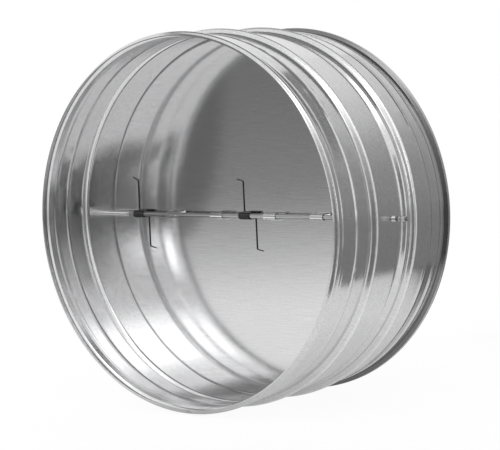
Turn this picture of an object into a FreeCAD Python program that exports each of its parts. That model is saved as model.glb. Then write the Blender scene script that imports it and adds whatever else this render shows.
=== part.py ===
"""Spring-loaded backdraft damper for a round duct of 315 mm.

Frame: origin at the middle of the casing on the duct's axis, +Y along the duct from the outlet to the inlet,
+X along the axle, +Z up. Lengths are in millimetres and angles in degrees.
"""

import FreeCAD, Part
import os
import re
import Sketcher

Vector = FreeCAD.Vector
doc = FreeCAD.newDocument("BackdraftDamper")

# Driving sizes: name, value, what it is
SIZES = [
    ("rim_radius", 157.0, "crest of the rolled rims, a free fit in the duct"),
    ("rim_height", 3.0, "rim above the plain wall"),
    ("sheet", 0.7, "casing sheet thickness"),
    ("rim_land", 2.4, "length of the flat crest of a rim"),
    ("rim_slope", 40.0, "slope of a rim's sides"),
    ("bead_height", 4.3, "bead that stops the duct, above the plain wall"),
    ("bead_slope", 47.0, "slope of a bead's two sides"),
    ("outlet_spigot", 54.7, "outlet edge to the middle of the outlet bead"),
    ("inlet_spigot", 54.7, "middle of the inlet bead to the inlet edge"),
    ("bead_to_axle", 29.25, "middle of the outlet bead to the axle"),
    ("seat_depth", 3.5, "how far the seat stands in from the wall"),
    ("seat_slope", 32.0, "slope of the seat's two sides"),
    ("seat_gap", 0.3, "closed blade to the seat's slope"),
    ("seat_to_bead", 3.23, "plain wall between the seat and the inlet bead"),
    ("notch_width", 2.2, "gap of the butt seam at a rim"),
    ("notch_depth", 4.0, "length of that gap along the duct"),
    ("axle_diameter", 4.0, "axle rod"),
    ("axle_overhang", 11.6, "axle end beyond the outside of the wall"),
    ("axle_chamfer", 0.4, "chamfer on the axle's ends"),
    ("axle_clearance", 0.05, "axle to its sleeves, on the radius"),
    ("stake_width", 1.2, "chisel mark across an axle end"),
    ("stake_depth", 1.8, "depth of that mark"),
    ("sleeve_wall", 0.5, "wall of an axle sleeve"),
    ("sleeve_length", 26.0, "axle sleeve inside the casing"),
    ("sleeve_stand", 1.6, "axle sleeve beyond the outside of the wall"),
    ("hole_clearance", 0.05, "sleeve to the hole in the wall, on the radius"),
    ("blade_thickness", 0.8, "blade sheet"),
    ("blade_set_back", 7.7, "axle's centre line to the front of the closed blades"),
    ("blade_clearance", 1.1, "blade's round edge to the inside of the wall"),
    ("blade_gap", 0.8, "between the straight edges of the two blades"),
    ("knuckle_clearance", 0.08, "knuckle to axle, on the radius"),
    ("knuckle_width", 12.7, "knuckle along the axle"),
    ("knuckle_wrap", 260.0, "angle that a knuckle goes round the axle"),
    ("knuckle_bend", 1.0, "inside radius where a knuckle's tab leaves its blade"),
    ("knuckle_relief", 0.6, "slot at each side of a tab"),
    ("tab_lap", 2.0, "flat of a tab in the blade above its bend"),
    ("upper_knuckle_place", 77.5, "middle of the duct to the upper blade's knuckles"),
    ("lower_knuckle_place", 28.5, "middle of the duct to the lower blade's knuckles"),
    ("spring_wire", 0.8, "spring wire"),
    ("coil_clearance", 0.3, "coil to axle, on the radius"),
    ("coil_skin", 0.05, "the turns' tube beyond the wire, inside and outside"),
    ("coil_length", 11.5, "coil along the axle"),
    ("spring_to_sleeve", 5.55, "coil of a side spring to the sleeve's end"),
    ("spring_leg", 29.5, "axle's centre line to the middle of a leg's foot"),
    ("spring_foot", 6.0, "foot at the end of a leg"),
    ("centre_spring_place", 1.5, "middle of the duct to the middle spring"),
    ("leg_gap", 0.1, "leg to blade"),
]

# Sizes and places that follow from the driving ones
PLACES = [
    ("wall_radius", "rim_radius - rim_height"),
    ("bead_radius", "wall_radius + bead_height"),
    ("rim_run", "rim_height / tan(rim_slope)"),
    ("bead_run", "bead_height / tan(bead_slope)"),
    ("seat_run", "seat_depth / tan(seat_slope)"),
    ("inner_radius", "wall_radius - sheet"),
    ("blade_radius", "inner_radius - blade_clearance"),
    ("axle_place", "outlet_spigot + bead_to_axle"),
    ("blade_back", "axle_place + blade_set_back + blade_thickness"),
    ("seat_lead", "(blade_clearance - seat_gap / cos(seat_slope)) / tan(seat_slope)"),
    ("seat_start", "blade_back - seat_lead + sheet * tan(seat_slope / 2)"),
    ("inlet_bead", "seat_start + 2 * seat_run + seat_to_bead + bead_run"),
    ("casing_length", "inlet_bead + inlet_spigot"),
    ("axle_y", "axle_place - casing_length / 2"),
    ("blade_y", "axle_y + blade_set_back"),
    ("axle_radius", "axle_diameter / 2"),
    ("sleeve_inside", "axle_radius + axle_clearance"),
    ("sleeve_outside", "sleeve_inside + sleeve_wall"),
    ("sleeve_end", "inner_radius - sleeve_length"),
    ("spring_place", "sleeve_end - spring_to_sleeve - coil_length / 2"),
    ("knuckle_inside", "axle_radius + knuckle_clearance"),
    ("knuckle_outside", "knuckle_inside + blade_thickness"),
    ("bend_height", "knuckle_outside + knuckle_bend"),
    ("coil_inside", "axle_radius + coil_clearance"),
    ("coil_outside", "coil_inside + spring_wire + 2 * coil_skin"),
    ("coil_radius", "(coil_inside + coil_outside) / 2"),
    ("leg_y", "blade_y - leg_gap - spring_wire / 2"),
]

sizes = doc.addObject("Spreadsheet::Sheet", "Sizes")
for row, (name, value, note) in enumerate(SIZES, start=1):
    sizes.set(f"A{row}", name)
    sizes.set(f"B{row}", str(value))
    sizes.setAlias(f"B{row}", name)
    sizes.set(f"C{row}", note)
places = doc.addObject("Spreadsheet::Sheet", "Places")
HOME = {size[0]: "Sizes." for size in SIZES} | {place[0]: "Places." for place in PLACES}


def full(text):
    """Put the sheet's name before each size that a formula names."""
    return re.sub(r"[a-z_]+", lambda word: HOME.get(word[0], "") + word[0], text)


for row, (name, formula) in enumerate(PLACES, start=1):
    places.set(f"A{row}", name)
    places.set(f"B{row}", "=" + full(formula))
    places.setAlias(f"B{row}", name)
doc.recompute()


def number(text):
    """The present value of a formula."""
    return float(places.evalExpression(full(text)))


def new_body(label):
    body = doc.addObject("PartDesign::Body", label)
    body.Label = label
    return body


def new_sketch(body, name, role, **offset):
    """A sketch on one of the body's origin planes, moved by offsets along the sketch's own x, y or z."""
    sketch = body.newObject("Sketcher::SketchObject", f"{body.Label}_{name}")
    plane = next(p for p in body.Origin.OriginFeatures if p.Role == role)
    sketch.AttachmentSupport = [(plane, "")]
    sketch.MapMode = "FlatFace"
    for axis, text in offset.items():
        sketch.setExpression(f"AttachmentOffset.Base.{axis}", full(text))
    return sketch


def hold(sketch, kind, text, *where):
    """Add a dimension whose value is a formula."""
    index = sketch.addConstraint(Sketcher.Constraint(kind, *where, number(text)))
    sketch.setExpression(f"Constraints[{index}]", full(text))


def arc_between(start, end, radius, turn, long_way):
    """Arc from start to end; turn is 1 when it runs counter-clockwise and -1 when clockwise."""
    chord = end - start
    rise = max(radius**2 - chord.Length**2 / 4, 0) ** 0.5
    side = turn * (-1 if long_way else 1)
    across = Vector(-chord.y, chord.x, 0).normalize()
    centre = start + chord / 2 + across * rise * side
    first = Vector(1, 0, 0).getAngle(start - centre) * (1 if start.y >= centre.y else -1)
    last = Vector(1, 0, 0).getAngle(end - centre) * (1 if end.y >= centre.y else -1)
    if turn < 0:
        first, last = last, first
    return Part.ArcOfCircle(Part.Circle(centre, Vector(0, 0, 1), radius), first, last)


def outline(sketch, corners):
    """Closed outline. A corner is (x, y), or (x, y, radius, turn, long_way) where an arc leaves it."""
    points = [Vector(number(c[0]), number(c[1]), 0) for c in corners]
    ends = []
    for here, there, corner in zip(points, points[1:] + points[:1], corners):
        if len(corner) == 2:
            edge = sketch.addGeometry(Part.LineSegment(here, there))
            ends.append((edge, 1, 2))
        else:
            radius, turn, long_way = corner[2:]
            edge = sketch.addGeometry(arc_between(here, there, number(radius), turn, long_way))
            ends.append((edge, 1, 2) if turn > 0 else (edge, 2, 1))
    for this, following in zip(ends, ends[1:] + ends[:1]):
        sketch.addConstraint(Sketcher.Constraint("Coincident", this[0], this[2], following[0], following[1]))
    for (edge, start, _), corner in zip(ends, corners):
        hold(sketch, "DistanceX", corner[0], -1, 1, edge, start)
        hold(sketch, "DistanceY", corner[1], -1, 1, edge, start)
        if len(corner) > 2:
            hold(sketch, "Radius", corner[2], edge)


def circle(sketch, x, radius):
    """Circle centred on the sketch's own x axis."""
    ring = Part.Circle(Vector(number(x), 0, 0), Vector(0, 0, 1), number(radius))
    edge = sketch.addGeometry(ring)
    sketch.addConstraint(Sketcher.Constraint("PointOnObject", edge, 3, -1))
    hold(sketch, "DistanceX", x, -1, 1, edge, 3)
    hold(sketch, "Radius", radius, edge)


def extrude(body, sketch, kind, name, length=None, side="One side", backwards=False):
    """Pad or Pocket of a sketch; with no length it goes right through."""
    feature = body.newObject(f"PartDesign::{kind}", f"{body.Label}_{name}")
    feature.Profile = sketch
    feature.SideType = side
    feature.Reversed = backwards
    if length:
        feature.setExpression("Length", full(length))
    else:
        feature.Type = "ThroughAll"
    doc.recompute()
    return feature


def casing():
    """One rolled sheet: outlet rim, outlet bead, blade seat, inlet bead and inlet rim, turned about the duct."""
    body = new_body("casing")
    rim_length = "2 * rim_run + rim_land"

    # A corner of the sheet's outside: place along the duct, radius, slope of the sheet before it and after it
    def rim(start):
        return [
            (start, "wall_radius", "0", "rim_slope"),
            (f"{start} + rim_run", "rim_radius", "rim_slope", "0"),
            (f"{start} + rim_run + rim_land", "rim_radius", "0", "-rim_slope"),
            (f"{start} + {rim_length}", "wall_radius", "-rim_slope", "0"),
        ]

    def bead(middle):
        return [
            (f"{middle} - bead_run", "wall_radius", "0", "bead_slope"),
            (middle, "bead_radius", "bead_slope", "-bead_slope"),
            (f"{middle} + bead_run", "wall_radius", "-bead_slope", "0"),
        ]

    seat = [
        ("seat_start", "wall_radius", "0", "-seat_slope"),
        ("seat_start + seat_run", "wall_radius - seat_depth", "-seat_slope", "seat_slope"),
        ("seat_start + 2 * seat_run", "wall_radius", "seat_slope", "0"),
    ]

    def across_sheet(place, radius, before, after):
        """The inside corner, one sheet thickness from both of the outside corner's sides."""
        middle, half_turn = f"({before} + ({after})) / 2", f"({after} - ({before})) / 2"
        inner = f"{radius} - sheet * cos({middle}) / cos({half_turn})"
        return inner, f"{place} + sheet * sin({middle}) / cos({half_turn})"

    last_rim = rim(f"casing_length - ({rim_length})")
    corners = rim("0") + bead("outlet_spigot") + seat + bead("inlet_bead") + last_rim
    outside = [(radius, place) for place, radius, _, _ in corners]
    inside = [across_sheet(*corner) for corner in corners]
    # At the cut edges the sheet ends square to the duct
    edge = "wall_radius - sheet / cos(rim_slope)"
    inside[0] = (edge, "0")
    inside[-1] = (edge, "casing_length")
    profile = new_sketch(body, "profile", "XY_Plane", y="-casing_length / 2")
    outline(profile, outside + inside[::-1])
    tube = body.newObject("PartDesign::Revolution", "casing_tube")
    tube.Profile = profile
    tube.ReferenceAxis = (profile, ["V_Axis"])
    tube.Angle = 360
    doc.recompute()
    holes = new_sketch(body, "holes", "YZ_Plane")
    circle(holes, "axle_y", "sleeve_outside + hole_clearance")
    extrude(body, holes, "Pocket", "sleeve_holes", side="Symmetric")
    notches = new_sketch(body, "notches", "XY_Plane")
    for end in ("-casing_length / 2", "casing_length / 2 - notch_depth"):
        near, far = "-notch_width / 2", "notch_width / 2"
        beyond = f"{end} + notch_depth"
        outline(notches, [(near, end), (far, end), (far, beyond), (near, beyond)])
    # The butt seam is at the bottom, so only the lower half is cut
    extrude(body, notches, "Pocket", "seam_notches")
    return body


def axle():
    """Rod across the casing, its ends chamfered and marked across with a chisel."""
    body = new_body("axle")
    end = "wall_radius + axle_overhang"
    section = new_sketch(body, "section", "YZ_Plane")
    circle(section, "axle_y", "axle_radius")
    rod = extrude(body, section, "Pad", "rod", f"2 * ({end})", side="Symmetric")
    rims = [f"Edge{i}" for i, edge in enumerate(rod.Shape.Edges, start=1) if edge.isClosed()]
    chamfer = body.newObject("PartDesign::Chamfer", "axle_ends")
    chamfer.Base = (rod, rims)
    chamfer.setExpression("Size", full("axle_chamfer"))
    doc.recompute()
    marks = new_sketch(body, "marks", "XZ_Plane")
    for side in ("", "-"):
        tip = f"{side}({end})"
        root = f"{side}({end} - stake_depth)"
        outline(marks, [(tip, "-stake_width / 2"), (tip, "stake_width / 2"), (root, "0")])
    extrude(body, marks, "Pocket", "stakes", side="Symmetric")
    return body


def sleeve(label, side):
    """Tube that carries the axle through the wall; side is 1 on the right and -1 on the left."""
    body = new_body(label)
    outer_end = "wall_radius + sleeve_stand"
    start = "sleeve_end" if side > 0 else f"-({outer_end})"
    section = new_sketch(body, "section", "YZ_Plane", z=start)
    circle(section, "axle_y", "sleeve_inside")
    circle(section, "axle_y", "sleeve_outside")
    extrude(body, section, "Pad", "tube", f"{outer_end} - sleeve_end")
    return body


def blade(label, side, knuckle_place):
    """Half-disc of sheet with two tabs that are bent forward and curled round the axle; side is 1 or -1."""
    body = new_body(label)
    disc = new_sketch(body, "disc", "XZ_Plane", z="-blade_y")
    circle(disc, "0", "blade_radius")
    extrude(body, disc, "Pad", "sheet", "blade_thickness", backwards=True)

    def up(text):
        return f"{side} * ({text})"

    # The straight edge lies beside the axle, and is cut back where a tab leaves it
    straight, bend = up("blade_gap / 2"), up("bend_height")
    slot = "knuckle_width / 2 + knuckle_relief"
    far = "wall_radius"
    edge = [(f"-{far}", straight)]
    for middle in (f"-{knuckle_place}", knuckle_place):
        left, right = f"{middle} - ({slot})", f"{middle} + {slot}"
        edge += [(left, straight), (left, bend), (right, bend), (right, straight)]
    edge += [(far, straight), (far, up(f"-{far}")), (f"-{far}", up(f"-{far}"))]
    waste = new_sketch(body, "waste", "XZ_Plane", z="-blade_y")
    outline(waste, edge)
    extrude(body, waste, "Pocket", "straight_edge", side="Symmetric")

    # Section of a tab: curl round the axle, run back to the blade, bend, and lap in the blade's own sheet
    close_y = "axle_y + {} * cos(90 + knuckle_wrap)"
    close_z = up("{} * sin(90 + knuckle_wrap)")
    inner, outer = "knuckle_inside", "knuckle_outside"
    back = "blade_y + blade_thickness"
    top = up("bend_height + tab_lap")
    section = [
        ("axle_y", up(inner), inner, side, True),
        (close_y.format(inner), close_z.format(inner)),
        (close_y.format(outer), close_z.format(outer), outer, -side, True),
        ("axle_y", up(outer)),
        ("blade_y - knuckle_bend", up(outer), "knuckle_bend", side, False),
        ("blade_y", bend),
        ("blade_y", top),
        (back, top),
        (back, bend, "knuckle_bend + blade_thickness", -side, False),
        ("blade_y - knuckle_bend", up(inner)),
    ]
    tab = new_sketch(body, "tab", "YZ_Plane", z=knuckle_place)
    outline(tab, section)
    right_tab = extrude(body, tab, "Pad", "right_knuckle", "knuckle_width", side="Symmetric")
    pair = body.newObject("PartDesign::Mirrored", f"{label}_left_knuckle")
    pair.Originals = [right_tab]
    plane = next(p for p in body.Origin.OriginFeatures if p.Role == "YZ_Plane")
    pair.MirrorPlane = (plane, [""])
    body.Tip = pair
    doc.recompute()
    return body


def wire_along(points):
    """Round spring wire along straight runs, mitred at the bends."""
    path = Part.makePolygon(points)
    ring = Part.Circle(points[0], points[1] - points[0], number("spring_wire / 2")).toShape()
    return path.makePipeShell([Part.Wire(ring)], True, False, 1)


def spring(label, middle):
    """Torsion spring: a close-wound coil on the axle with a leg on each blade.

    The turns stand as one tube. The upper leg leaves the tube's left end over the top of the axle, the lower one
    its right end under it, and each ends in a foot along the blade.
    """
    centre = Vector(number(middle), number("axle_y"), 0)
    along = Vector(1, 0, 0)
    length = number("coil_length")
    start = centre - along * length / 2
    bore = Part.makeCylinder(number("coil_inside"), length, start, along)
    shape = Part.makeCylinder(number("coil_outside"), length, start, along).cut(bore)
    radius, back, height = number("coil_radius"), number("leg_y"), number("spring_leg")
    reach = number("(coil_length - spring_wire) / 2 - coil_skin")
    for side in (1, -1):
        x = centre.x - side * reach
        route = [
            Vector(x, centre.y, side * radius),
            Vector(x, back, side * radius),
            Vector(x, back, side * height),
            Vector(x - side * number("spring_foot"), back, side * height),
        ]
        shape = shape.fuse(wire_along(route))
    piece = doc.addObject("Part::Feature", label)
    piece.Label = label
    piece.Shape = shape
    piece.Placement = FreeCAD.Placement()
    return piece


pieces = [
    casing(),
    axle(),
    sleeve("left_sleeve", -1),
    sleeve("right_sleeve", 1),
    blade("upper_blade", 1, "upper_knuckle_place"),
    blade("lower_blade", -1, "lower_knuckle_place"),
    spring("left_spring", "-spring_place"),
    spring("centre_spring", "centre_spring_place"),
    spring("right_spring", "spring_place"),
]
doc.recompute()

for item in doc.Objects:
    if "Invalid" in item.State or "Error" in item.State:
        raise RuntimeError(f"{item.Label} failed: {item.State}")
for piece in pieces:
    shape = piece.Shape
    if shape.isNull() or not shape.isValid() or len(shape.Solids) != 1:
        raise RuntimeError(f"{piece.Label} is not one valid solid")

os.makedirs("parts", exist_ok=True)
for piece in pieces:
    piece.Shape.exportStep(f"parts/{piece.Label}.step")
    box = piece.Shape.BoundBox
    print(f"{piece.Label}: {piece.Shape.Volume:.1f} mm3, x {box.XMin:.2f} to {box.XMax:.2f}, "
          f"y {box.YMin:.2f} to {box.YMax:.2f}, z {box.ZMin:.2f} to {box.ZMax:.2f}")
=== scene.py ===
from math import atan2, ceil, cos, exp, pi, radians, sin, sqrt

import bmesh
import bpy
from mathutils import Matrix, Quaternion, Vector, noise


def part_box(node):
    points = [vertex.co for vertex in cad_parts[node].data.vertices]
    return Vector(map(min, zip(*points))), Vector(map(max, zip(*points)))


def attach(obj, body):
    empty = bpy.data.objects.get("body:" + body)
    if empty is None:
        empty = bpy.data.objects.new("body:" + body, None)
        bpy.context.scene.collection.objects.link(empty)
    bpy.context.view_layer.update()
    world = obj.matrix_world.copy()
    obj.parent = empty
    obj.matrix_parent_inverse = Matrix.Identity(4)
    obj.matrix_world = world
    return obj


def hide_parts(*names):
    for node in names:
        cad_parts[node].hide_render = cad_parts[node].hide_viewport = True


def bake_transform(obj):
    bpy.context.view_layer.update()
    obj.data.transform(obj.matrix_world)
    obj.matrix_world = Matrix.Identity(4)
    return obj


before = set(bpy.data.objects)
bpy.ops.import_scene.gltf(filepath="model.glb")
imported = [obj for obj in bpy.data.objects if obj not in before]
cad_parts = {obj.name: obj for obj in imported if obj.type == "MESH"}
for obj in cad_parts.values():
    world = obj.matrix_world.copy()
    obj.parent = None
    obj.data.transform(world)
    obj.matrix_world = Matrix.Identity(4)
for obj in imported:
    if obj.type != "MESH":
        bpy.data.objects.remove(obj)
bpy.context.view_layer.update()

# Casing: one strip of galvanised sheet, rolled into a tube and butt-seamed along its bottom.
# Rollers press in the rounded rim at each end, the two stop beads and the seat behind the blades,
# and leave a fine crease and a low ridge round each spigot.
casing_low, casing_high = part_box("casing")
upper_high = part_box("upper_blade")[1]
axle_low, axle_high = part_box("axle")
axle_along = (axle_low.y + axle_high.y) / 2
sheet_thickness = 0.0007
wall_radius = 0.154
rim_height = 0.003
rim_half = 0.00478
rim_steep = 0.0024
bead_height = casing_high.z - wall_radius
bead_half = 0.0042
bead_from_end = 0.0547
seat_half = 0.0056
seat_behind_blade = 0.0046
outlet_rim = casing_low.y + rim_half
outlet_bead = casing_low.y + bead_from_end
seat_place = upper_high.y + seat_behind_blade
inlet_bead = casing_high.y - bead_from_end
inlet_rim = casing_high.y - rim_half
outlet_crease = -0.0505
inlet_crease = 0.0535
end_ridge = 0.0668
outlet_taper = 0.05
inlet_taper = 0.022
# place along the duct, height over the wall, widths of its outlet and inlet flanks, half width of the crest
rolled_forms = (
    (outlet_rim, rim_height, rim_half, rim_steep, 0.0009),
    (-end_ridge, 0.00022, 0.0030, 0.0030, 0.0003),
    (outlet_crease, 0.00050, 0.0017, 0.0017, 0.0001),
    (outlet_bead, bead_height, bead_half, bead_half, 0.0001),
    (seat_place, -0.0035, seat_half, seat_half, 0.0003),
    (inlet_bead, bead_height, bead_half, bead_half, 0.0001),
    (inlet_crease, 0.00046, 0.0026, 0.0026, 0.0003),
    (end_ridge, 0.00040, 0.0019, 0.0019, 0.0003),
    (inlet_rim, rim_height, rim_steep, rim_half, 0.0009),
)
casing_segments = 288
# turn from +X towards the top in degrees, place along the duct, depth and width of each knock in the wall
casing_dents = (
    (158.0, -0.0535, -0.00035, 0.0040),
    (164.0, -0.0485, 0.00030, 0.0035),
    (169.0, -0.0560, -0.00030, 0.0045),
    (176.0, -0.0490, 0.00025, 0.0035),
    (37.0, 0.0440, -0.00030, 0.0040),
    (33.0, 0.0520, 0.00030, 0.0035),
    (213.0, -0.0430, -0.00030, 0.0060),
    (262.0, 0.0460, 0.00030, 0.0055),
    (118.0, 0.0580, -0.00025, 0.0060),
    (305.0, -0.0400, -0.00030, 0.0050),
    (72.0, -0.0500, -0.00045, 0.0022),
    (67.0, -0.0508, -0.00045, 0.0026),
    (61.5, -0.0502, -0.00040, 0.0022),
    (43.5, -0.0506, -0.00045, 0.0022),
    (38.0, -0.0500, -0.00045, 0.0018),
    (5.5, -0.0505, -0.00050, 0.0020),
    (-15.0, -0.0505, -0.00050, 0.0026),
    (31.0, 0.0530, -0.00045, 0.0022),
    (26.5, 0.0540, 0.00035, 0.0024),
)


def add_node(tree, kind, inputs, **settings):
    """Adds a node, gives it its settings, and sets or links each named input."""
    node = tree.nodes.new(kind)
    for name, value in settings.items():
        setattr(node, name, value)
    for socket, value in inputs.items():
        if isinstance(value, bpy.types.NodeSocket):
            tree.links.new(value, node.inputs[socket])
        else:
            node.inputs[socket].default_value = value
    return node


def math_node(tree, operation, *values):
    """Adds one sum or function of numbers and gives back its result."""
    return add_node(tree, "ShaderNodeMath", dict(enumerate(values)), operation=operation).outputs[0]


def rolled_rise(share):
    """How far a rolled form has risen, from 0 at its foot to 1 at its crest, with both bends rounded."""
    foot_bend = 0.30
    crest_bend = 0.42
    steepness = 1 / (1 - (foot_bend + crest_bend) / 2)
    if share < foot_bend:
        return steepness * share * share / (2 * foot_bend)
    if share < 1 - crest_bend:
        return steepness * (share - foot_bend / 2)
    return 1 - steepness * (1 - share) ** 2 / (2 * crest_bend)


def rolled_radius(along):
    """Outer radius of the casing at a place along the duct; its spigots are a little waisted."""
    radius = wall_radius
    waist = 0.6
    spigots = ((outlet_crease, outlet_rim, outlet_taper), (inlet_crease, inlet_rim, inlet_taper))
    for crease, rim_place, taper in spigots:
        run = (along - crease) / (rim_place - crease)
        if run > 0:
            back_out = min(1, max(0, run - waist) / (1 - waist))
            radius -= taper * abs(rim_place - crease) * min(run, 1 - back_out)
    for place, height, outlet_flank, inlet_flank, crest in rolled_forms:
        reach = abs(along - place)
        foot = outlet_flank if along < place else inlet_flank
        if reach < foot:
            radius += height * rolled_rise(min(1.0, (foot - reach) / (foot - crest)))
    return radius


def casing_outline():
    """Closed line of (radius, place) points round the cut sheet, outside first and back inside."""
    plain_step = 0.004
    form_step = 0.0005
    closest = 0.00028
    plain_count = ceil((casing_high.y - casing_low.y) / plain_step)
    stations = [casing_low.y, casing_high.y]
    stations += [casing_low.y + plain_step * step for step in range(1, plain_count)]
    for place, height, outlet_flank, inlet_flank, crest in rolled_forms:
        run = outlet_flank + inlet_flank
        count = ceil(run / form_step)
        stations += [place - outlet_flank + run * step / count for step in range(count + 1)]
    kept = [casing_low.y]
    for station in sorted(stations):
        if station - kept[-1] > closest and casing_high.y - station > closest:
            kept.append(station)
    kept.append(casing_high.y)
    outside = []
    inside = []
    probe = 0.00005
    for station in kept:
        radius = rolled_radius(station)
        slope = (rolled_radius(station + probe) - rolled_radius(station - probe)) / (2 * probe)
        if station in (casing_low.y, casing_high.y):
            slope = 0.0
        across = sheet_thickness / sqrt(1 + slope * slope)
        outside.append((radius, station, 0.0))
        inside.append((radius - across, station + slope * across, 0.0))
    return outside + inside[::-1] + outside[:1]


def turning_tree():
    """Geometry Nodes tree that turns an outline of (radius, place) points round the Y axis."""
    tree = bpy.data.node_groups.new("Turned outline", "GeometryNodeTree")
    tree.interface.new_socket("Outline", in_out="INPUT", socket_type="NodeSocketObject")
    tree.interface.new_socket("Segments", in_out="INPUT", socket_type="NodeSocketInt")
    tree.interface.new_socket("Finish", in_out="INPUT", socket_type="NodeSocketMaterial")
    tree.interface.new_socket("Geometry", in_out="OUTPUT", socket_type="NodeSocketGeometry")
    sizes = tree.nodes.new("NodeGroupInput").outputs
    outline = add_node(tree, "GeometryNodeObjectInfo", {"Object": sizes["Outline"]}).outputs["Geometry"]
    count = add_node(tree, "GeometryNodeAttributeDomainSize", {"Geometry": outline}).outputs["Point Count"]
    columns = math_node(tree, "ADD", sizes["Segments"], 1)
    grid = add_node(tree, "GeometryNodeMeshGrid", {"Vertices X": columns, "Vertices Y": count})
    index = tree.nodes.new("GeometryNodeInputIndex").outputs[0]
    row = math_node(tree, "MODULO", index, count)
    column = math_node(tree, "FLOOR", math_node(tree, "DIVIDE", math_node(tree, "ADD", index, 0.5), count))
    place = tree.nodes.new("GeometryNodeInputPosition").outputs[0]
    point = add_node(tree, "GeometryNodeSampleIndex", {"Geometry": outline}, data_type="FLOAT_VECTOR")
    tree.links.new(place, point.inputs["Value"])
    tree.links.new(row, point.inputs["Index"])
    parts = add_node(tree, "ShaderNodeSeparateXYZ", {0: point.outputs["Value"]}).outputs
    turn = math_node(tree, "MULTIPLY", math_node(tree, "DIVIDE", column, sizes["Segments"]), 2 * pi)
    across = math_node(tree, "MULTIPLY", parts[0], math_node(tree, "COSINE", turn))
    height = math_node(tree, "MULTIPLY", parts[0], math_node(tree, "SINE", turn))
    spot = add_node(tree, "ShaderNodeCombineXYZ", {0: across, 1: parts[1], 2: height}).outputs[0]
    shape = add_node(tree, "GeometryNodeSetPosition", {"Geometry": grid.outputs["Mesh"], "Position": spot})
    closed = add_node(tree, "GeometryNodeMergeByDistance", {"Geometry": shape.outputs[0], "Distance": 1e-6})
    whole = add_node(tree, "GeometryNodeRealizeInstances", {"Geometry": closed.outputs[0]})
    done = add_node(tree, "GeometryNodeSetMaterial",
                    {"Geometry": whole.outputs[0], "Material": sizes["Finish"]})
    add_node(tree, "NodeGroupOutput", {"Geometry": done.outputs[0]})
    return tree


def give_tree(piece, tree, values):
    """Puts a Geometry Nodes tree on a piece, with its named inputs set."""
    modifier = piece.modifiers.new("Shape", "NODES")
    modifier.node_group = tree
    for item in tree.interface.items_tree:
        if item.in_out == "INPUT" and item.name in values:
            modifier[item.identifier] = values[item.name]


def new_piece(name, mesh):
    """Puts a mesh into the scene as an object at the origin."""
    piece = bpy.data.objects.new(name, mesh)
    bpy.context.scene.collection.objects.link(piece)
    return piece


def settle(piece, *helpers):
    """Makes what a piece's modifiers give its own plain mesh, and clears the helpers away."""
    bpy.context.view_layer.update()
    seen = piece.evaluated_get(bpy.context.evaluated_depsgraph_get())
    mesh = bpy.data.meshes.new_from_object(seen)
    piece.modifiers.clear()
    piece.data = mesh
    for helper in helpers:
        bpy.data.objects.remove(helper)


def smooth_outward(mesh, sharp_angle):
    """Points a closed mesh's faces outwards and shades it smooth up to an angle."""
    work = bmesh.new()
    work.from_mesh(mesh)
    bmesh.ops.recalc_face_normals(work, faces=work.faces)
    work.to_mesh(mesh)
    work.free()
    mesh.shade_smooth()
    mesh.set_sharp_from_angle(angle=radians(sharp_angle))


def new_finish(name):
    """Starts a bare metal finish and gives back its tree, its shader and its Object coordinates."""
    finish = bpy.data.materials.new(name)
    finish.use_nodes = True
    tree = finish.node_tree
    shader = tree.nodes["Principled BSDF"]
    shader.inputs["Metallic"].default_value = 1.0
    place = tree.nodes.new("ShaderNodeTexCoord").outputs["Object"]
    return finish, tree, shader, place


def spread(tree, value, low, high, begin=0.0, end=1.0, **settings):
    """Maps a value that runs from begin to end onto the range from low to high."""
    sockets = {0: value, 1: begin, 2: end, 3: low, 4: high}
    return add_node(tree, "ShaderNodeMapRange", sockets, **settings).outputs[0]


def weighted(tree, *shares):
    """Adds up patterns, each times its own weight."""
    total = None
    for pattern, weight in shares:
        part = math_node(tree, "MULTIPLY", pattern, weight)
        total = part if total is None else math_node(tree, "ADD", total, part)
    return total


def two_tone(tree, pattern, dark, light, low=0.0, high=1.0):
    """Colours a pattern from dark at its low level to light at its high one."""
    ramp = add_node(tree, "ShaderNodeValToRGB", {0: pattern})
    for stop, position, colour in zip(ramp.color_ramp.elements, (low, high), (dark, light)):
        stop.position = position
        stop.color = (*colour, 1)
    return ramp.outputs[0]


def shaded_by(tree, colour, factor):
    """Makes a colour lighter or darker by a factor."""
    return add_node(tree, "ShaderNodeVectorMath", {0: colour, "Scale": factor}, operation="SCALE").outputs[0]


galvanised, tree, shader, place = new_finish("galvanised_sheet")
flake_scale = 210.0
grain_scale = 1150.0
roller_scale = 900.0
spangle = add_node(tree, "ShaderNodeTexVoronoi", {"Vector": place, "Scale": flake_scale, "Randomness": 1.0})
flake = add_node(tree, "ShaderNodeSeparateColor", {0: spangle.outputs["Color"]}).outputs[0]
grain = add_node(tree, "ShaderNodeTexNoise",
                 {"Vector": place, "Scale": grain_scale, "Detail": 2.0}).outputs[0]
roller = add_node(tree, "ShaderNodeMapping", {"Vector": place, "Scale": (0.0, roller_scale, 0.0)}).outputs[0]
lines = add_node(tree, "ShaderNodeTexNoise", {"Vector": roller, "Scale": 1.0, "Detail": 2.0}).outputs[0]
mottle = weighted(tree, (flake, 0.06), (grain, 0.94))
tone = two_tone(tree, mottle, (0.60, 0.60, 0.605), (0.76, 0.76, 0.765), 0.34, 0.66)
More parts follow.
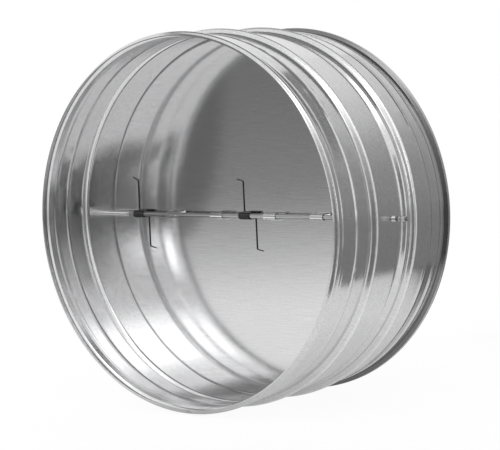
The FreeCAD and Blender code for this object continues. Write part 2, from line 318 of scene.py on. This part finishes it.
# the inner flank of the inlet rim is darkened as painted shade for the crevice under its roll, and the
# beads' crests are rubbed matt and lightened as a painted sheen
rim_crevice = inlet_rim - 0.0021
crest_half = 0.0006
crest_fade = 0.0020
along = add_node(tree, "ShaderNodeSeparateXYZ", {0: place}).outputs[1]
off_rim_crevice = math_node(tree, "ABSOLUTE", math_node(tree, "SUBTRACT", along, rim_crevice))
painted_crevice_shade = spread(tree, off_rim_crevice, 0.30, 1.0, 0.0009, 0.0014)
from_middle = math_node(tree, "ABSOLUTE", along)
off_bead = math_node(tree, "ABSOLUTE", math_node(tree, "SUBTRACT", from_middle, inlet_bead))
rub_and_painted_sheen = spread(tree, off_bead, 1.28, 1.0, crest_half, crest_fade)
scuffed = spread(tree, off_bead, 0.24, 0.0, crest_half, crest_fade)
# painted shade on the rim's flank and a painted sheen on the beads' crests go into the sheet's colour
painted_shade_and_sheen_tone = shaded_by(tree, tone, math_node(tree, "MULTIPLY", painted_crevice_shade, rub_and_painted_sheen))
tree.links.new(painted_shade_and_sheen_tone, shader.inputs["Base Color"])
# pressing in the sleeves has dulled the wall round the axle's holes
from_axle = add_node(tree, "ShaderNodeVectorMath", {0: place, 1: (0.0, axle_along, 0.0)},
                     operation="SUBTRACT").outputs[0]
from_axle = add_node(tree, "ShaderNodeVectorMath", {0: from_axle, 1: (0.0, 1.0, 1.0)},
                     operation="MULTIPLY").outputs[0]
off_hole = add_node(tree, "ShaderNodeVectorMath", {0: from_axle}, operation="LENGTH").outputs["Value"]
handled = spread(tree, off_hole, 0.07, 0.0, 0.002, 0.034, interpolation_type="SMOOTHSTEP")
plain_dullness = 0.12
dullness = weighted(tree, (flake, 0.02), (lines, 0.04))
for added in (scuffed, handled, plain_dullness):
    dullness = math_node(tree, "ADD", dullness, added)
tree.links.new(dullness, shader.inputs["Roughness"])
relief = weighted(tree, (grain, 0.5), (lines, 0.6))
bump = add_node(tree, "ShaderNodeBump", {"Height": relief, "Strength": 0.26, "Distance": 0.0002})
tree.links.new(bump.outputs[0], shader.inputs["Normal"])

outline_mesh = bpy.data.meshes.new("casing_outline")
outline_mesh.from_pydata(casing_outline(), [], [])
outline = new_piece("casing_outline", outline_mesh)
casing = new_piece("casing_shell", bpy.data.meshes.new("casing_shell"))
turned_outline = turning_tree()
give_tree(casing, turned_outline, {"Outline": outline, "Segments": casing_segments, "Finish": galvanised})

hole_radius = 0.0026
hole_run = 0.4
notch_size = (0.0034, 0.0080, 0.0120)
cut_mesh = bpy.data.meshes.new("casing_cuts")
cuts = bmesh.new()
across_duct = Matrix.Translation((0, axle_along, 0)) @ Matrix.Rotation(pi / 2, 4, "Y")
bmesh.ops.create_cone(cuts, cap_ends=True, segments=48, radius1=hole_radius, radius2=hole_radius,
                      depth=hole_run, matrix=across_duct)
for notch_end in (casing_low.y, casing_high.y):
    at_seam = Matrix.Translation((0, notch_end, casing_low.z))
    bmesh.ops.create_cube(cuts, size=1.0, matrix=at_seam @ Matrix.Diagonal((*notch_size, 1.0)))
cuts.to_mesh(cut_mesh)
cuts.free()
cutter = new_piece("casing_cuts", cut_mesh)
boolean = casing.modifiers.new("Holes", "BOOLEAN")
boolean.operation = "DIFFERENCE"
boolean.solver = "EXACT"
boolean.object = cutter
settle(casing, outline, cutter)

wave_height = 0.00016
waves_across = 17
waves_along = 9
wave_start = 3.1
stiff_end = 0.02
stiff_bead = 0.012
stiff_seat = 0.015
for vertex in casing.data.vertices:
    spot = vertex.co
    radius = sqrt(spot.x * spot.x + spot.z * spot.z)
    turn = atan2(spot.z, spot.x)
    wave_place = Vector((spot.x * waves_across, spot.y * waves_along + wave_start, spot.z * waves_across))
    wave = noise.noise(wave_place) * wave_height
    for dent_turn, dent_along, depth, width in casing_dents:
        swing = (turn - radians(dent_turn) + pi) % (2 * pi) - pi
        gap = (swing * wall_radius) ** 2 + (spot.y - dent_along) ** 2
        wave += depth * exp(-gap / (width * width))
    ends = min(1.0, (casing_high.y - abs(spot.y)) / stiff_end)
    beads = min(1.0, abs(spot.y - outlet_bead) / stiff_bead, abs(spot.y - inlet_bead) / stiff_bead)
    seat = min(1.0, abs(spot.y - seat_place) / stiff_seat)
    grown = (radius + wave * ends * beads * seat) / radius
    vertex.co = (spot.x * grown, spot.y, spot.z * grown)
smooth_outward(casing.data, 32)
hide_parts("casing")
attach(casing, "casing")

# Axle: a drawn steel rod across the casing, held in the two sleeves.
# Its two ends stand out of the wall and are lighter in tone there, with painted shade and painted glints in
# rings along each pin and a painted dark tip.
bright_rod, tree, shader, place = new_finish("axle_steel")
wall_exit_start = 0.1500
wall_exit_full = 0.1545
pin_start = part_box("right_sleeve")[1].x
drawn = add_node(tree, "ShaderNodeMapping", {"Vector": place, "Scale": (60.0, 2600.0, 2600.0)}).outputs[0]
drawing = add_node(tree, "ShaderNodeTexNoise", {"Vector": drawn, "Scale": 1.0, "Detail": 3.0}).outputs[0]
tone = two_tone(tree, drawing, (0.42, 0.42, 0.425), (0.60, 0.60, 0.605))
across = math_node(tree, "ABSOLUTE", add_node(tree, "ShaderNodeSeparateXYZ", {0: place}).outputs[0])


def grey_steps(tree, value, levels):
    """Maps a 0 to 1 value onto greys that are set at a few positions."""
    ramp = add_node(tree, "ShaderNodeValToRGB", {0: value})
    stops = ramp.color_ramp.elements
    for stop, (position, level) in zip(stops, (levels[0], levels[-1])):
        stop.position = position
        stop.color = (level, level, level, 1)
    for position, level in levels[1:-1]:
        stops.new(position).color = (level, level, level, 1)
    return ramp.outputs[0]


# painted shade and painted glints in rings along the pin, from the sleeve's end to a painted dark tip
painted_pin_rings = grey_steps(tree, spread(tree, across, 0.0, 1.0, pin_start, axle_high.x),
                     ((0.0, 1.0), (0.04, 0.30), (0.24, 0.30), (0.36, 1.0), (0.50, 0.40), (0.64, 1.0),
                      (0.82, 1.0), (1.0, 0.25)))
painted_end_tone = math_node(tree, "MULTIPLY", spread(tree, across, 1.0, 1.6, wall_exit_start, wall_exit_full), painted_pin_rings)
tree.links.new(shaded_by(tree, tone, painted_end_tone), shader.inputs["Base Color"])
dullness = math_node(tree, "ADD", spread(tree, drawing, 0.26, 0.40),
                     spread(tree, across, 0.0, 0.22, wall_exit_start, wall_exit_full))
tree.links.new(dullness, shader.inputs["Roughness"])
bump = add_node(tree, "ShaderNodeBump", {"Height": drawing, "Strength": 0.12, "Distance": 0.0001})
tree.links.new(bump.outputs[0], shader.inputs["Normal"])


def dressed_copy(node, name, finish):
    """Copies a CAD node's mesh, joins its triangles, shades it smooth and gives it a finish."""
    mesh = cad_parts[node].data.copy()
    work = bmesh.new()
    work.from_mesh(mesh)
    bmesh.ops.remove_doubles(work, verts=work.verts, dist=1e-6)
    bmesh.ops.dissolve_limit(work, angle_limit=radians(0.5), verts=work.verts, edges=work.edges)
    work.to_mesh(mesh)
    work.free()
    mesh.materials.clear()
    mesh.materials.append(finish)
    mesh.shade_smooth()
    sharp_angle = 35
    mesh.set_sharp_from_angle(angle=radians(sharp_angle))
    wide_face = 0.0001
    for face in mesh.polygons:
        face.use_smooth = face.area < wide_face
    piece = new_piece(name, mesh)
    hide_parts(node)
    return piece


axle = dressed_copy("axle", "axle_rod", bright_rod)
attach(axle, "casing")

# Sleeves: bright plated tubes pressed through the wall, one at each side.
# The axle sits in them, and they keep the outer springs off the wall.
plated, tree, shader, place = new_finish("sleeve_steel")
haze = add_node(tree, "ShaderNodeTexNoise", {"Vector": place, "Scale": 900.0, "Detail": 4.0}).outputs[0]
tone = two_tone(tree, haze, (0.86, 0.86, 0.86), (0.95, 0.95, 0.95))
tree.links.new(tone, shader.inputs["Base Color"])
tree.links.new(spread(tree, haze, 0.12, 0.20), shader.inputs["Roughness"])
for side in ("left", "right"):
    sleeve = dressed_copy(side + "_sleeve", side + "_sleeve_tube", plated)
    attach(sleeve, "casing")

# Blades: two half discs of bright sheet that fold on the axle, closed against the seat at rest.
# Each has two tabs that are bent forward and curled round the axle as its hinge knuckles.
bright_sheet, tree, shader, place = new_finish("blade_sheet")
rolled = add_node(tree, "ShaderNodeMapping", {"Vector": place, "Scale": (45.0, 1500.0, 1500.0)}).outputs[0]
streak = add_node(tree, "ShaderNodeTexNoise", {"Vector": rolled, "Scale": 1.0, "Detail": 3.0}).outputs[0]
grain = add_node(tree, "ShaderNodeTexNoise",
                 {"Vector": place, "Scale": grain_scale, "Detail": 2.0}).outputs[0]
mottle = weighted(tree, (streak, 0.5), (grain, 0.5))
tone = two_tone(tree, mottle, (0.66, 0.66, 0.665), (0.77, 0.77, 0.775), 0.36, 0.64)
tree.links.new(tone, shader.inputs["Base Color"])
tree.links.new(spread(tree, mottle, 0.07, 0.13), shader.inputs["Roughness"])
bump = add_node(tree, "ShaderNodeBump", {"Height": mottle, "Strength": 0.08, "Distance": 0.0002})
tree.links.new(bump.outputs[0], shader.inputs["Normal"])
for level in ("upper", "lower"):
    blade = dressed_copy(level + "_blade", level + "_blade_sheet", bright_sheet)
    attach(blade, level + "_blade")

# Springs: three torsion springs of dark wire, wound round the axle.
# Each has one leg up the upper blade and one down the lower blade, with a short turned foot.
spring_black, tree, shader, place = new_finish("spring_wire")
oxide = add_node(tree, "ShaderNodeTexNoise", {"Vector": place, "Scale": 1100.0, "Detail": 3.0}).outputs[0]
tone = two_tone(tree, oxide, (0.050, 0.050, 0.052), (0.130, 0.130, 0.133))
tree.links.new(tone, shader.inputs["Base Color"])
tree.links.new(spread(tree, oxide, 0.28, 0.45), shader.inputs["Roughness"])

wire_radius = 0.0004
coil_radius = 0.00275
coil_reach = 0.0053
coil_turns = 12.5
turn_steps = 24
blade_thickness = 0.0008
leg_gap = 0.0001
leg_along = upper_high.y - blade_thickness - wire_radius - leg_gap
leg_top = 0.0290
leg_slant = 0.0003
coil_entry = 0.0004
foot_length = 0.0064
lower_foot_rise = 12
bend_radius = 0.0012
bend_steps = 6
# where the upper and the lower leg lie, from the coil's middle, and the rise of the upper foot in degrees
spring_legs = {
    "left": (-0.0067, 0.0038, 24),
    "centre": (-0.0067, 0.0054, 12),
    "right": (-0.0064, 0.0044, 15),
}


def wire_tree():
    """Geometry Nodes tree that makes round wire along a line."""
    tree = bpy.data.node_groups.new("Wire along a line", "GeometryNodeTree")
    tree.interface.new_socket("Geometry", in_out="INPUT", socket_type="NodeSocketGeometry")
    tree.interface.new_socket("Radius", in_out="INPUT", socket_type="NodeSocketFloat")
    tree.interface.new_socket("Finish", in_out="INPUT", socket_type="NodeSocketMaterial")
    tree.interface.new_socket("Geometry", in_out="OUTPUT", socket_type="NodeSocketGeometry")
    sizes = tree.nodes.new("NodeGroupInput").outputs
    line = add_node(tree, "GeometryNodeMeshToCurve", {"Mesh": sizes["Geometry"]}).outputs[0]
    ring = add_node(tree, "GeometryNodeCurvePrimitiveCircle", {"Resolution": 12, "Radius": sizes["Radius"]})
    wire = add_node(tree, "GeometryNodeCurveToMesh",
                    {"Curve": line, "Profile Curve": ring.outputs["Curve"], "Fill Caps": True})
    whole = add_node(tree, "GeometryNodeRealizeInstances", {"Geometry": wire.outputs[0]})
    done = add_node(tree, "GeometryNodeSetMaterial",
                    {"Geometry": whole.outputs[0], "Material": sizes["Finish"]})
    add_node(tree, "NodeGroupOutput", {"Geometry": done.outputs[0]})
    return tree


def rounded_line(corners, radius):
    """Points along straight runs whose corners are bent to a radius."""
    points = [corners[0]]
    for before, corner, after in zip(corners, corners[1:], corners[2:]):
        start = (before - corner).normalized()
        end = (after - corner).normalized()
        for step in range(bend_steps + 1):
            share = step / bend_steps
            points.append(corner + start * radius * (1 - share) ** 2 + end * radius * share ** 2)
    points.append(corners[-1])
    return points


def half_spring(middle, side, leg_x, foot_rise):
    """Centre line of one half of a spring: foot, leg and half of the coil (side 1 up, -1 down)."""
    coil_end = middle - side * coil_reach
    top = side * coil_radius
    foot = Vector((-side * cos(foot_rise), 0, side * sin(foot_rise))) * foot_length
    heel = Vector((leg_x - side * leg_slant, leg_along, side * leg_top))
    corners = [
        heel + foot,
        heel,
        Vector((leg_x, leg_along, top)),
        Vector((coil_end, axle_along + coil_entry, top)),
    ]
    points = rounded_line(corners, bend_radius)
    steps = round(coil_turns / 2 * turn_steps)
    for step in range(steps + 1):
        share = step / steps
        turn = share * coil_turns * pi
        points.append(Vector((coil_end + side * coil_reach * share, axle_along - coil_radius * sin(turn),
                              top * cos(turn))))
    return points


wire_along_line = wire_tree()
for place_name in ("left", "centre", "right"):
    spring_low, spring_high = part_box(place_name + "_spring")
    middle = (spring_low.x + spring_high.x) / 2
    upper_leg, lower_leg, upper_foot_rise = spring_legs[place_name]
    halves = (("upper", 1, upper_leg, upper_foot_rise), ("lower", -1, lower_leg, lower_foot_rise))
    for level, side, leg, rise in halves:
        points = half_spring(middle, side, middle + leg, radians(rise))
        line_mesh = bpy.data.meshes.new("spring_line")
        line_mesh.from_pydata(points, [(step, step + 1) for step in range(len(points) - 1)], [])
        half = new_piece(place_name + "_spring_" + level + "_half", line_mesh)
        give_tree(half, wire_along_line, {"Radius": wire_radius, "Finish": spring_black})
        settle(half)
        smooth_outward(half.data, 50)
        if level == "upper":
            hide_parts(place_name + "_spring")
        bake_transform(half)

# Floor: a plain white sweep under the damper, which stands on its two beads.
# It shows as white to the camera and keeps a faint shadow; in the metal it shows a painted pool of light
# that darkens away from a spot in front of the damper, and a painted shadow close under the damper.
floor_half = 6.0
floor_level = casing_low.z - 0.0001


def bare_finish(name):
    """Starts a material with no nodes in it."""
    finish = bpy.data.materials.new(name)
    finish.use_nodes = True
    finish.node_tree.nodes.clear()
    return finish, finish.node_tree


white_floor, tree = bare_finish("white_floor")
rays = tree.nodes.new("ShaderNodeLightPath").outputs
place = tree.nodes.new("ShaderNodeTexCoord").outputs["Object"]
# painted light: the metal sees a pool of light round this spot that falls off with distance
brightest = (-0.10, -0.35, 0.0)
fall_reach = 2.4
from_brightest = add_node(tree, "ShaderNodeVectorMath", {0: place, 1: brightest},
                          operation="SUBTRACT").outputs[0]
from_brightest = add_node(tree, "ShaderNodeVectorMath", {0: from_brightest, 1: (1, 1, 0)},
                          operation="MULTIPLY").outputs[0]
away = add_node(tree, "ShaderNodeVectorMath", {0: from_brightest}, operation="LENGTH").outputs["Value"]
painted_light_falloff = grey_steps(tree, math_node(tree, "DIVIDE", away, fall_reach),
                  ((0.14, 1.0), (0.22, 0.92), (0.33, 0.74), (0.44, 0.58), (0.64, 0.45), (0.85, 0.36)))
spot = add_node(tree, "ShaderNodeSeparateXYZ", {0: place}).outputs
# painted shadow: the metal sees the floor darker close under the damper
damper_half = 0.07
beyond_end = math_node(tree, "SUBTRACT", math_node(tree, "ABSOLUTE", spot[1]), damper_half)
beyond_end = math_node(tree, "MAXIMUM", beyond_end, 0.0)
off_line = math_node(tree, "SQRT", math_node(tree, "ADD", math_node(tree, "POWER", spot[0], 2.0),
                                             math_node(tree, "POWER", beyond_end, 2.0)))
painted_contact_shadow = spread(tree, off_line, 0.58, 1.0, 0.02, 0.17)
white_level = 1.06
camera_share = 0.88
metal_share = 0.80
matt = add_node(tree, "ShaderNodeBsdfDiffuse", {"Color": (0.90, 0.90, 0.90, 1)})
glow = add_node(tree, "ShaderNodeEmission", {"Color": (1, 1, 1, 1), "Strength": white_level})
mirrored = add_node(tree, "ShaderNodeEmission",
                    {"Color": shaded_by(tree, painted_light_falloff, painted_contact_shadow), "Strength": white_level})
to_camera = add_node(tree, "ShaderNodeMixShader",
                     {0: math_node(tree, "MULTIPLY", rays["Is Camera Ray"], camera_share),
                      1: matt.outputs[0], 2: glow.outputs[0]})
to_metal = add_node(tree, "ShaderNodeMixShader",
                    {0: math_node(tree, "MULTIPLY", rays["Is Glossy Ray"], metal_share),
                     1: to_camera.outputs[0], 2: mirrored.outputs[0]})
add_node(tree, "ShaderNodeOutputMaterial", {"Surface": to_metal.outputs[0]})

floor_mesh = bpy.data.meshes.new("studio_floor")
floor_mesh.from_pydata([(-floor_half, -floor_half, floor_level), (floor_half, -floor_half, floor_level),
                        (floor_half, floor_half, floor_level), (-floor_half, floor_half, floor_level)],
                       [], [(0, 1, 2, 3)])
floor_mesh.materials.append(white_floor)
floor = new_piece("studio_floor", floor_mesh)

# Cards: grey cards that give the bright metal something dark to mirror, out of the camera's sight.
# Most stand on arcs round the damper; one hangs over it and three lie on the floor beside it.


def hang(name, mesh, finish, lights_floor, shades_floor):
    """Sets a card or a soft box up in the studio where the camera doesn't see it."""
    mesh.materials.append(finish)
    piece = new_piece(name, mesh)
    piece.visible_camera = False
    piece.visible_diffuse = lights_floor
    piece.visible_shadow = shades_floor


def card(name, lower_edge, distance, high, levels, on_floor=True):
    """Bends a card round the damper over a lower edge of (turn from +X, height); levels go up its height."""
    steps = 12
    corners = []
    for (from_turn, from_low), (to_turn, to_low) in zip(lower_edge, lower_edge[1:]):
        for step in range(steps + 1):
            turn = radians(from_turn + (to_turn - from_turn) * step / steps)
            x, y = distance * cos(turn), distance * sin(turn)
            corners += [(x, y, from_low + (to_low - from_low) * step / steps), (x, y, high)]
    low = min(edge_height for edge_turn, edge_height in lower_edge)
    mesh = bpy.data.meshes.new(name)
    mesh.from_pydata(corners, [], [(i, i + 2, i + 3, i + 1) for i in range(0, len(corners) - 2, 2)])
    grey, tree = bare_finish(name)
    place = tree.nodes.new("ShaderNodeTexCoord").outputs["Object"]
    height = add_node(tree, "ShaderNodeSeparateXYZ", {0: place}).outputs[2]
    shade = grey_steps(tree, spread(tree, height, 0.0, 1.0, low, high), levels)
    light = add_node(tree, "ShaderNodeEmission", {"Color": shade, "Strength": 1.0})
    add_node(tree, "ShaderNodeOutputMaterial", {"Surface": light.outputs[0]})
    hang(name, mesh, grey, on_floor, on_floor)


card("right_back_card", ((18, floor_level), (58, floor_level), (98, floor_level)), 0.44, 0.47,
     ((0.0, 0.24), (0.19, 0.25), (0.32, 0.31), (0.45, 0.35), (0.585, 0.46), (0.73, 0.69), (0.86, 0.82),
      (1.0, 1.0)))
card("right_back_flag", ((30, 0.17), (40, 0.26), (51, 0.357), (57, 0.405), (63, 0.44), (70, 0.471),
                         (85, 0.503)), 0.43, 0.75, ((0.0, 0.24), (1.0, 0.24)))
card("front_left_card", ((190, floor_level), (226, floor_level), (262, floor_level)), 2.2, 0.60,
     ((0.0, 0.30), (0.30, 0.21), (0.6, 0.21), (1.0, 0.8)))
card("front_left_flag", ((211, 0.42), (226, 0.42), (241, 0.42)), 2.1, 1.10,
     ((0.0, 0.24), (0.35, 0.26), (0.75, 0.60), (1.0, 0.95)))
card("blade_flag", ((219, -0.060), (222.6, -0.052), (223.7, -0.040), (225.8, -0.009), (227.2, 0.037),
                    (228.0, 0.093), (228.6, 0.160)), 0.42, 0.24,
     ((0.0, 0.26), (0.08, 0.21), (0.16, 0.155), (1.0, 0.15)), on_floor=False)
card("front_far_card", ((299, floor_level), (302.5, floor_level), (306, floor_level)), 2.3, 1.25,
     ((0.0, 0.56), (0.3, 0.60), (0.6, 0.68), (0.85, 0.88), (1.0, 1.0)))
card("front_low_card", ((285.5, floor_level), (290, floor_level), (294, floor_level)), 0.38, 0.012,
     ((0.0, 0.20), (1.0, 0.22)))
card("seat_card", ((332, floor_level), (337, floor_level), (342, floor_level)), 0.46, 0.20,
     ((0.0, 0.18), (0.8, 0.20), (1.0, 0.50)))
card("front_right_card", ((294, floor_level), (311, floor_level), (328, floor_level)), 0.38, 0.22,
     ((0.0, 0.20), (0.42, 0.21), (0.7, 0.45), (0.87, 0.60), (1.0, 0.80)))


def flat_card(name, corners, height, level):
    """Lays a level card of one grey over or under the damper."""
    mesh = bpy.data.meshes.new(name)
    mesh.from_pydata([(x, y, height) for x, y in corners], [], [tuple(range(len(corners)))])
    grey, tree = bare_finish(name)
    light = add_node(tree, "ShaderNodeEmission", {"Color": (level, level, level, 1), "Strength": 1.0})
    add_node(tree, "ShaderNodeOutputMaterial", {"Surface": light.outputs[0]})
    hang(name, mesh, grey, False, False)


ceiling_level = 1.1
lying_level = floor_level + 0.0002
flat_card("ceiling_card", ((-0.9, -0.25), (0.9, -0.25), (0.9, 1.0), (-0.9, 1.0)), ceiling_level, 0.28)
flat_card("front_floor_card", ((0.03, -0.29), (0.06, -0.45), (0.30, -0.45), (0.37, -0.23), (0.32, -0.14),
                               (0.20, -0.26)), lying_level, 0.26)
# the right and back floor cards are a painted shadow of the damper on the floor, seen only in the metal
flat_card("right_floor_card", ((0.257, 0.10), (0.60, 0.10), (0.60, 0.50), (0.27, 0.50), (0.27, 0.275)),
          lying_level, 0.24)
flat_card("back_floor_card", ((0.06, 0.113), (0.27, 0.275), (0.27, 0.50), (-0.30, 0.50), (-0.30, 0.113)),
          lying_level, 0.14)

# Light: a white room with soft boxes high in front and at the right, a weak one at the left
# and a narrow one beside the camera. The room lights at a plain level, and is white where
# the camera or the metal sees it.
room_light = 0.60
room_white = 1.0
world = bpy.data.worlds.new("studio")
bpy.context.scene.world = world
world.use_nodes = True
tree = world.node_tree
tree.nodes.clear()
rays = tree.nodes.new("ShaderNodeLightPath").outputs
seen = math_node(tree, "ADD", rays["Is Camera Ray"], rays["Is Glossy Ray"])
seen = math_node(tree, "ADD", math_node(tree, "MINIMUM", seen, 1.0), rays["Is Transmission Ray"])
seen = math_node(tree, "MINIMUM", seen, 1.0)
sky = add_node(tree, "ShaderNodeBackground",
               {"Color": (1, 1, 1, 1), "Strength": spread(tree, seen, room_light, room_white)})
add_node(tree, "ShaderNodeOutputWorld", {"Surface": sky.outputs[0]})


def soft_box(name, turn, rise, distance, width, height, level):
    """Hangs a soft box in a direction from the damper, turned to it, that fades towards its edges."""
    turn = radians(turn)
    rise = radians(rise)
    outward = Vector((cos(turn) * cos(rise), sin(turn) * cos(rise), sin(rise)))
    across = Vector((-sin(turn), cos(turn), 0))
    upward = outward.cross(across)
    middle = outward * distance
    sides = across * width / 2
    ends = upward * height / 2
    corners = [middle - sides - ends, middle + sides - ends, middle + sides + ends, middle - sides + ends]
    mesh = bpy.data.meshes.new(name)
    mesh.from_pydata(corners, [], [(0, 3, 2, 1)])
    silk, tree = bare_finish(name)
    place = tree.nodes.new("ShaderNodeTexCoord").outputs["Object"]
    offset = add_node(tree, "ShaderNodeVectorMath", {0: place, 1: middle}, operation="SUBTRACT").outputs[0]
    full_share = 0.2
    strength = level
    for axis, half in ((across, width / 2), (upward, height / 2)):
        share = add_node(tree, "ShaderNodeVectorMath", {0: offset, 1: axis / half}, operation="DOT_PRODUCT")
        share = math_node(tree, "ABSOLUTE", share.outputs["Value"])
        fade = spread(tree, share, 1.0, 0.0, full_share, 1.0, interpolation_type="SMOOTHSTEP")
        strength = math_node(tree, "MULTIPLY", fade, strength)
    light = add_node(tree, "ShaderNodeEmission", {"Color": (1, 1, 1, 1), "Strength": strength})
    through = tree.nodes.new("ShaderNodeBsdfTransparent")
    both = add_node(tree, "ShaderNodeAddShader", {0: light.outputs[0], 1: through.outputs[0]})
    add_node(tree, "ShaderNodeOutputMaterial", {"Surface": both.outputs[0]})
    hang(name, mesh, silk, True, False)


soft_box("front_box", -90, 40, 2.0, 1.7, 0.9, 1.5)
soft_box("left_box", -116, 26, 2.3, 0.9, 0.9, 0.4)
soft_box("strip_box", -49.5, 18, 1.6, 0.38, 0.95, 3.6)
soft_box("right_box", -35, 52, 1.9, 1.4, 1.1, 1.6)

# Camera: a long lens from the front right, a little above the axle, as in the photograph.
# It is rolled a little, and aims just beside the middle of the damper.
camera_turn = radians(38.34)
camera_rise = radians(4.20)
camera_roll = radians(-2.19)
camera_distance = 1.9022
aim_right = 0.006116
aim_down = 0.007637
camera_back = Vector((sin(camera_turn) * cos(camera_rise), -cos(camera_turn) * cos(camera_rise),
                      sin(camera_rise)))
camera_right = Vector((cos(camera_turn), sin(camera_turn), 0))
camera_up = camera_back.cross(camera_right)
rolled_right = camera_right * cos(camera_roll) + camera_up * sin(camera_roll)
rolled_up = camera_up * cos(camera_roll) - camera_right * sin(camera_roll)
lens = bpy.data.cameras.new("photo_lens")
lens.sensor_width = 36.0
lens.lens = 162.12
lens.clip_end = 50.0
camera = bpy.data.objects.new("photo_camera", lens)
bpy.context.scene.collection.objects.link(camera)
camera.location = camera_back * camera_distance
aim = rolled_right * aim_right - rolled_up * aim_down
facing = (aim - camera.location).to_track_quat("-Z", "Y") @ Quaternion((0, 0, 1), camera_roll)
camera.rotation_euler = facing.to_euler()
bpy.context.scene.camera = camera
bpy.context.scene.view_settings.view_transform = "Standard"
